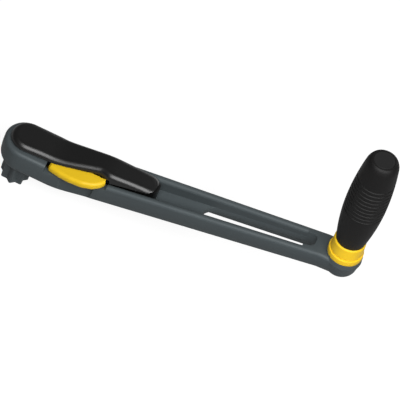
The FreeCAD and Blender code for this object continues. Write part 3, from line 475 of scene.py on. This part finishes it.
def shoulder(edge, top):
    """The roll as (inward, height) points, the wall's foot, and where the top begins."""
    centre = top - SHOULDER
    inset = (SHOULDER + (centre - RIM) * math.sin(DRAFT)) / math.cos(DRAFT)
    wall_shows = edge + LIP <= centre + SHOULDER * math.sin(DRAFT)
    first = DRAFT if wall_shows else math.asin(min(LAST_START, (edge + LIP - centre) / SHOULDER))
    angles = [first + (math.pi / 2 - first) * step / ROLL_STEPS for step in range(ROLL_STEPS + 1)]
    roll = [
        (inset - SHOULDER * math.cos(angle), centre + SHOULDER * math.sin(angle))
        for angle in angles
    ]
    foot = roll[0][0]
    if wall_shows:
        foot = min(foot, max(0.0, (edge - RIM) * math.tan(DRAFT)))
    return roll, foot, inset


print("the top begins", round(shoulder(RIM, 27.4)[2], 1), "mm inside the wall's foot")

# %% One rib of the cover
TOP_SHARES = (0.15, 0.35, 0.6, 0.8, 1.0)    # of the way from shoulder to middle


def rib(middle, aside, half, cut):
    """One rib, from the middle of the underside round to the middle of the top."""
    near_side = aside[1] < 0
    foot_x = middle + aside[0] * half
    edge = edge_height(foot_x, near_side)
    roll, foot, inset = shoulder(edge, eased(COVER_TOP, foot_x, TOP_EASE))
    skirt_low = edge if over_lever(foot_x, near_side) else rail(foot_x)
    roof = skirt_low
    if LEVER_START < foot_x < LEVER_END + 1:
        roof = max(skirt_low, lever_height(foot_x) + LEVER_ROOM)
    wide = half - cut
    points = [(wide, roof), (wide - ROOF_HALF, roof), (wide - ROOF_FOOT, skirt_low)]
    points += [(foot + SEAM, skirt_low), (foot + SEAM, edge)]
    points += [(foot + LIP, edge), (foot, edge + LIP)]
    points += roll
    points += [(inset + (wide - inset) * share, None) for share in TOP_SHARES]
    places = []
    for inward, height in points:
        out = max(0.0, wide - inward)
        x = middle + aside[0] * out
        if height is None:
            height = eased(COVER_TOP, x, TOP_EASE)
        places.append((x * MM, aside[1] * out * MM, height * MM))
    return places


print("points on each rib:", len(rib(NOSE_X, (-1.0, 0.0), NOSE_HALF, 0.0)))

# %% All ribs in order
END_STEPS, SIDE_STEPS = 24, 80


def end_ribs(middle, half, first_angle, cut_at):
    """Ribs round one end, with the cut that the near side has there fading out."""
    ribs = []
    for step in range(END_STEPS):
        angle = math.radians(first_angle + 180 * step / END_STEPS)
        cut = cut_at * (1 - math.sin(angle)) / 2
        ribs.append(rib(middle, (math.cos(angle), math.sin(angle)), half, cut))
    return ribs


def cover_ribs():
    """All ribs in order, round the nose, along the near side, round the tail and back."""
    sides = [NOSE_X + (TAIL_X - NOSE_X) * step / SIDE_STEPS for step in range(SIDE_STEPS + 1)]
    near, far = (0.0, -1.0), (0.0, 1.0)
    ribs = end_ribs(NOSE_X, NOSE_HALF, 90, 0.0)
    ribs += [rib(x, near, half_width(x), eased(COVER_CUT, x, CUT_EASE)) for x in sides[:-1]]
    ribs += end_ribs(TAIL_X, TAIL_HALF, -90, eased(COVER_CUT, TAIL_X, CUT_EASE))
    ribs += [rib(x, far, half_width(x), 0.0) for x in reversed(sides[1:])]
    return ribs


print("ribs:", len(cover_ribs()))

# %% [markdown]
# The ribs become a skin with Bridge Edge Loops: each is drawn as a line of
# edges, and the operator spans the faces between one line and the next. What
# the CAD solid has under the rim, its plug in the channel and its screw posts,
# is kept below a slanting cut, so that the cover is whole from every side.

# %% Draw lines, bridge them and close the shape
def loft(shape, rows, closed):
    """Draws each row of points as a line of edges and bridges neighbours."""
    lines = []
    for row in rows:
        corners = [shape.verts.new(place) for place in row]
        following = corners[1:] + corners[:1] if closed else corners[1:]
        lines.append([shape.edges.new(pair) for pair in zip(corners, following)])
    for line, following in zip(lines, lines[1:]):
        bmesh.ops.bridge_loops(shape, edges=line + following)
    return lines


def closed_up(shape):
    """Merges coincident corners and turns every face outwards."""
    bmesh.ops.remove_doubles(shape, verts=shape.verts[:], dist=WELD)
    bmesh.ops.dissolve_degenerate(shape, edges=shape.edges[:], dist=WELD / 2)
    bmesh.ops.recalc_face_normals(shape, faces=shape.faces[:])


print("lines to bridge:", len(cover_ribs()), "with corners merged below", WELD, "m")

# %% The cover
def sliced(shape, point, away):
    """Takes off what lies beyond a plane and closes the cut."""
    everything = shape.verts[:] + shape.edges[:] + shape.faces[:]
    cut = bmesh.ops.bisect_plane(
        shape, geom=everything, plane_co=point, plane_no=away, clear_outer=True)
    rim = [item for item in cut["geom_cut"] if isinstance(item, bmesh.types.BMEdge)]
    bmesh.ops.holes_fill(shape, edges=rim)


def make_cover():
    shape = solid_copy("top_cover")
    above_rim = (CLIMB_FROM * MM, 0, (RIM + SLICE_ABOVE_RIM) * MM)
    sliced(shape, above_rim, (-RISE, 0, 1))
    lines = loft(shape, cover_ribs(), closed=False)
    bmesh.ops.bridge_loops(shape, edges=lines[-1] + lines[0])
    closed_up(shape)
    return placed(shape, "top_cover_shell", "top_cover", smooth_below=40.0)


cover = make_cover()
print(cover.name, "faces", len(cover.data.polygons))

# %% [markdown]
# The lever is a thick tongue with a flat top and a generous roll towards the
# thumb, and that roll is what shines in the portrait. Its outline is drawn
# with rounded corners and stacked in rings that draw in towards the top and
# the underside. The solid's own inner part, with hub and arm, stays behind it.

# %% Outline of the lever
LEVER_THICK, TOP_ROLL, LOW_ROLL = 6.0, 2.7, 1.4
LEVER_CORNERS = (               # x, y and radius of each corner, in millimetres
    (23.8, -10.7, 0.3), (23.6, -15.5, 2.9), (33.5, -19.2, 12.0), (42.0, -21.1, 14.0),
    (52.0, -22.0, 12.0), (60.6, -20.4, 8.0), (65.6, -17.0, 5.0), (68.6, -13.2, 2.9),
    (67.4, -10.7, 0.3),
)
CORNER_STEPS = 6
SIDE_SHARE = 0.48               # a corner uses at most this much of each side


def rounded_corners(corners):
    """A closed outline with each corner an arc; each point has its inward direction."""
    points = []
    for index, (x, y, radius) in enumerate(corners):
        corner = Vector((x, y))
        before = Vector(corners[index - 1][:2])
        after = Vector(corners[(index + 1) % len(corners)][:2])
        first, second = (corner - before).normalized(), (after - corner).normalized()
        half_turn = first.angle(second) / 2
        reach = min(
            radius * math.tan(half_turn),
            (corner - before).length * SIDE_SHARE, (after - corner).length * SIDE_SHARE)
        radius = reach / math.tan(half_turn)
        start_in = Vector((-first.y, first.x))
        centre = corner - first * reach + start_in * radius
        for step in range(CORNER_STEPS + 1):
            turn = 2 * half_turn * step / CORNER_STEPS
            inward = Matrix.Rotation(turn, 2) @ start_in
            points.append((centre - inward * radius, inward))
    return points


print("points round the lever:", len(rounded_corners(LEVER_CORNERS)))

# %% Rings of the lever
INNER_SIDE, ROLL_FADE = -10.9, 2.2   # no roll at the inner side, full roll past the fade


def lever_layers():
    """How far each ring is drawn in, and how far it lies below the top."""
    low = [(LOW_ROLL * (1 - math.sin(math.radians(angle))),
            LEVER_THICK - LOW_ROLL * (1 - math.cos(math.radians(angle))))
           for angle in (0, 22.5, 45, 67.5, 90)]
    high = [(TOP_ROLL * (1 - math.cos(math.radians(angle))),
             TOP_ROLL * (1 - math.sin(math.radians(angle))))
            for angle in range(0, 91, 9)]
    return low + high


def lever_ring(outline, inset, drop):
    """One ring of the stack, in metres."""
    ring = []
    for place, inward in outline:
        share = min(1.0, max(0.0, (INNER_SIDE - place.y) / ROLL_FADE))
        x, y = place + inward * inset * share
        ring.append((x * MM, y * MM, (lever_height(x) - drop) * MM))
    return ring


print("rings on the lever:", len(lever_layers()))

# %% The lock lever
INNER_CUT = ((0, -10.75 * MM, 0), (0, -1, 0))   # a point on the plane, and the way that goes
END_CUT = ((23.7 * MM, 0, 0), (-1, 0, 0))


def make_lever():
    shape = solid_copy("lock_lever")
    for point, away in (INNER_CUT, END_CUT):
        sliced(shape, point, away)
    outline = rounded_corners(LEVER_CORNERS)
    rings = [lever_ring(outline, inset, drop) for inset, drop in lever_layers()]
    lines = loft(shape, rings, closed=True)
    bmesh.ops.edgeloop_fill(shape, edges=lines[0] + lines[-1])
    closed_up(shape)
    return placed(shape, "lock_lever_moulded", "lock_lever")


lever = make_lever()
print(lever.name, "faces", len(lever.data.polygons))

# %% [markdown]
# The grip turns, so everything on it is round, and the lathe way of modelling
# fits: draw half of the outline once and spin it a full turn. The CAD solid is
# turned from the same outline with flat facets, so the spun piece replaces it
# with enough steps for a smooth outline, and with rounded lips on its rings.

# %% A lathe
REACH = 0.254                   # metres from the star's axis to the grip's
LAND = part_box("thrust_washer")[0][2]
TURN_STEPS = 96
SEAM_WELD = 1e-7                # metres


def spun(node, outline):
    """Turns an outline of (radius, height) in millimetres about the grip's axis."""
    shape = bmesh.new()
    corners = [
        shape.verts.new((REACH + radius * MM, 0, LAND + height * MM))
        for radius, height in outline
    ]
    edges = [shape.edges.new(pair) for pair in zip(corners, corners[1:] + corners[:1])]
    bmesh.ops.spin(
        shape, geom=corners + edges, cent=(REACH, 0, 0), axis=(0, 0, 1), dvec=(0, 0, 0),
        angle=math.tau, steps=TURN_STEPS, use_merge=True,
    )
    bmesh.ops.remove_doubles(shape, verts=shape.verts[:], dist=SEAM_WELD)
    bmesh.ops.recalc_face_normals(shape, faces=shape.faces[:])
    return placed(shape, node + "_turned", node)


def arc(centre, radius, first, last, steps):
    """Points of an arc in the outline, from one angle to another in degrees."""
    points = []
    for step in range(steps + 1):
        angle = math.radians(first + (last - first) * step / steps)
        points.append((centre[0] + radius * math.cos(angle), centre[1] + radius * math.sin(angle)))
    return points


print("the grip stands on the boss at", round(LAND / MM, 1), "mm")

# %% [markdown]
# Shape of the barrel: a long swelling below its widest place and a gentler one
# above it. The ring grooves sit where the fingers close, and each has a
# rounded bottom and soft lips, so that light runs round it as a bright line.

# %% The black grip
BELLY, NECK = 16.1, 11.5
BELLY_AT, NECK_AT, TOP_AT = 63.0, 16.8, 111.7
UPPER_BOW = 600                 # above the belly the radius falls by height squared over this
CORE, SPIGOT = 8.7, 11.8        # bore, and where the collar's spigot ends
SOCKET = NECK - 1.2             # radius that the collar takes in
RINGS, PITCH, DEPTH = 10, 3.85, 0.8
FIRST_RING = BELLY_AT - 8.9
GROOVE = (                      # height beside the groove's start, share of its depth
    (-0.45, 0.0), (-0.1, 0.06), (0.2, 0.32), (0.45, 0.9), (0.7, 1.0),
    (0.95, 0.9), (1.2, 0.32), (1.5, 0.06), (1.85, 0.0),
)
TOP_ROUND = (                   # radius, depth below the top
    (12.8, 4.9), (12.35, 3.6), (11.75, 2.3), (11.1, 1.2), (10.4, 0.45), (9.8, 0.1), (9.3, 0.0),
)
CAP_SEAT = ((8.5, 0.0), (8.5, 2.5), (8.2, 2.5), (8.2, 7.0), (CORE, 7.0))


def barrel(height):
    away = height - BELLY_AT
    if away < 0:
        return BELLY - (BELLY - NECK) * (away / (BELLY_AT - NECK_AT)) ** 2
    return BELLY - away ** 2 / UPPER_BOW


def grip_outline():
    outline = [(CORE, SPIGOT), (SOCKET, SPIGOT), (SOCKET, NECK_AT)]
    outline += [(barrel(height), height) for height in (17, 20, 24, 28, 33, 38, 43, 48, 51)]
    for ring in range(RINGS):
        for aside, sink in GROOVE:
            height = FIRST_RING + PITCH * ring + aside
            outline.append((barrel(height) - sink * DEPTH, height))
    outline += [(barrel(height), height) for height in (92, 95, 98.5, 102, TOP_AT - 6.2)]
    return outline + [(radius, TOP_AT - depth) for radius, depth in TOP_ROUND + CAP_SEAT]


grip = spun("grip_sleeve", grip_outline())
print(grip.name, "faces", len(grip.data.polygons))

# %% [markdown]
# The yellow collar is a cuff in two steps: a flange that sits over the boss
# and a tapering sleeve that the black grip is pushed into. A narrow groove
# divides the two.

# %% The yellow collar
foot = [(CORE, 1.1), (9.4, 1.1), (9.4, 0.1), (13.2, 0.1)]
flange = arc((13.25, 0.6), 0.5, -90, 0, 4) + arc((13.25, 4.7), 0.5, 0, 90, 4)
groove = [(12.4, 5.2), (12.15, 5.55), (12.35, 5.95)] + arc((12.4, 6.45), 0.5, -60, 10, 3)
sleeve = [(12.8, 8.5), (12.65, 11.5), (12.5, 14.3)]
mouth = arc((11.4, 15.5), 1.1, 10, 100, 6) + [(10.9, 16.7), (SOCKET, 16.6)]
spigot_seat = [(SOCKET, SPIGOT), (CORE, SPIGOT)]
collar = spun("grip_collar", foot + flange + groove + sleeve + mouth + spigot_seat)
print(collar.name, "faces", len(collar.data.polygons))

# %% [markdown]
# A cap closes the grip's top. It lies almost flush, with a fine seam round it.

# %% The cap
CAP_RADIUS, CAP_ROUND, CAP_THICK = 8.45, 0.4, 2.5
underside = [(0.0, TOP_AT - CAP_THICK), (CAP_RADIUS, TOP_AT - CAP_THICK)]
rim = [(CAP_RADIUS, TOP_AT - CAP_ROUND)]
rim += arc((CAP_RADIUS - CAP_ROUND, TOP_AT - CAP_ROUND), CAP_ROUND, 0, 90, 4)
cap = spun("grip_cap", underside + rim + [(7.0, TOP_AT), (0.0, TOP_AT)])
print(cap.name, "faces", len(cap.data.polygons))

# %% [markdown]
# A product picture wants a pale floor and soft light. The floor is wide enough
# for every view to end in it, and the world behind it is as pale. Light Path
# tells what kind of ray arrives: to the camera, and through glass, floor and
# world are white, and a glossy reflection gets a share of that white, because
# all of it would turn black plastic grey. The light that falls on the handle
# stays weak, and the floor still takes its shadow.

# %% Floor
WHITE, FLOOR_GREY = (1.0, 1.0, 1.0), (0.18, 0.18, 0.18)
FLOOR_GLOW = 0.86
FLOOR_HALF = 6.0                # metres from the middle to each side
MIDDLE_X = 0.127                # half way between star and grip


def seen_white(web, glossy_share):
    """1 for rays that see white, and a share of it for reflections."""
    camera_ray = web.node("ShaderNodeLightPath", {}, {}, "Is Camera Ray")
    reflected = camera_ray.sibling("Is Glossy Ray") * glossy_share
    return camera_ray.at_least(reflected).at_least(camera_ray.sibling("Is Transmission Ray"))


def make_floor_finish():
    """A plain grey that glows for the rays that see white."""
    finish = Finish("studio_floor")
    strength = seen_white(finish, glossy_share=0.25) * FLOOR_GLOW
    values = {"Color": WHITE, "Strength": strength}
    glow = finish.node("ShaderNodeEmission", {}, values, "Emission")
    plain = Wire(finish, finish.shader.outputs["BSDF"])
    both = finish.node("ShaderNodeAddShader", {}, {0: glow, 1: plain})
    finish.feed(finish.tree.nodes["Material Output"].inputs["Surface"], both)
    return finish.done(Base_Color=FLOOR_GREY, Roughness=0.9)


floor_height = cad_low.z - 0.5 * MM
shape = bmesh.new()
bmesh.ops.create_grid(shape, x_segments=1, y_segments=1, size=FLOOR_HALF)
bmesh.ops.translate(shape, verts=shape.verts[:], vec=(MIDDLE_X, 0, floor_height))
mesh = bpy.data.meshes.new("studio_floor")
shape.to_mesh(mesh)
shape.free()
floor = bpy.data.objects.new("studio_floor", mesh)
bpy.context.scene.collection.objects.link(floor)
mesh.materials.append(make_floor_finish())
floor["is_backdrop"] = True
print("floor at", round(floor_height, 4))

# %% World
WORLD_LIGHT = 0.06              # what the world adds to the lamps

world = bpy.data.worlds.new("studio")
bpy.context.scene.world = world
sky = Web(world)
soft = sky.tree.nodes["Background"]
sky.feed(soft.inputs["Color"], WHITE)
sky.feed(soft.inputs["Strength"], WORLD_LIGHT)
white = sky.node("ShaderNodeBackground", {}, {"Color": WHITE}, "Background")
share = seen_white(sky, glossy_share=0.1)
dim = Wire(sky, soft.outputs["Background"])
blend = sky.node("ShaderNodeMixShader", {}, {"Fac": share, 1: dim, 2: white}, "Shader")
sky.feed(sky.tree.nodes["World Output"].inputs["Surface"], blend)
print("world:", len(sky.tree.nodes), "nodes")

# %% [markdown]
# A tall soft box stands high behind the viewer's shoulder. It lights the tops,
# lets the walls fall off downwards and draws the long bright line along the
# cover's shoulder. A smaller one to the right models the grip, and a weak low
# one at the back keeps the far side readable.

# %% Lamps
LAMP_AIM = Vector((MIDDLE_X, 0, 0.04))
LAMP_DISTANCE = 1.4             # metres


def direction(azimuth, elevation):
    """The way from the handle to a lamp or to the camera, from two angles in degrees."""
    turn, lift = math.radians(azimuth), math.radians(elevation)
    level = math.cos(lift)
    return Vector((math.sin(turn) * level, -math.cos(turn) * level, math.sin(lift)))


def lamp(name, azimuth, elevation, wide, high, watts):
    """A soft box aimed at the middle of the handle."""
    back = direction(azimuth, elevation)
    light = bpy.data.lights.new(name, "AREA")
    light.shape = "RECTANGLE"
    light.size, light.size_y = wide, high
    light.energy = watts
    holder = bpy.data.objects.new(name, light)
    holder.location = LAMP_AIM + back * LAMP_DISTANCE
    holder.rotation_euler = back.to_track_quat("Z", "Y").to_euler()
    bpy.context.scene.collection.objects.link(holder)


lamp("front_lamp", azimuth=5, elevation=56, wide=0.9, high=1.3, watts=21)
lamp("side_lamp", azimuth=54, elevation=38, wide=0.6, high=0.6, watts=10)
lamp("back_lamp", azimuth=165, elevation=12, wide=0.9, high=0.9, watts=4)

# %% [markdown]
# The portrait is taken from far away with a long lens, 48 degrees above the
# arm, and the camera is rolled so that the arm runs down to the right. The
# numbers were measured on the star, the collar and the grip's axis.

# %% Camera
AZIMUTH, ELEVATION, ROLL = 3.959, 48.12, 22.405
PIXELS_PER_MM = 1.328
LENS_IN_PIXELS = 10000.0
ASIDE, DOWN = -14.186, -4.299   # pixels from the picture's middle to the handle's
FRAME_PIXELS = 400
SENSOR_MM = 36.0

turn, roll = math.radians(AZIMUTH), math.radians(ROLL)
back = direction(AZIMUTH, ELEVATION)
level = Vector((math.cos(turn), math.sin(turn), 0))
upright = back.cross(level)
right = level * math.cos(roll) + upright * math.sin(roll)
up = upright * math.cos(roll) - level * math.sin(roll)
aim = Vector((MIDDLE_X, 0, 0.0405)) - (right * ASIDE - up * DOWN) * MM / PIXELS_PER_MM
distance = LENS_IN_PIXELS / PIXELS_PER_MM * MM

data = bpy.data.cameras.new("portrait")
data.sensor_width = SENSOR_MM
data.lens = SENSOR_MM * LENS_IN_PIXELS / FRAME_PIXELS
data.clip_end = 100.0
camera = bpy.data.objects.new("portrait", data)
turned = Matrix((right, up, back)).transposed().to_4x4()
camera.matrix_world = Matrix.Translation(aim + back * distance) @ turned
bpy.context.scene.collection.objects.link(camera)
bpy.context.scene.camera = camera
bpy.context.scene.view_settings.view_transform = "Standard"
print("camera distance", round(distance, 2), "m")

# %% [markdown]
# The last cell measures the dressed handle against the solids.

# %% Measure and finish
low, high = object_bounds()
pairs = zip((*low, *high), (*cad_low, *cad_high))
print("size difference in mm", [round((dressed - solid) / MM, 2) for dressed, solid in pairs])
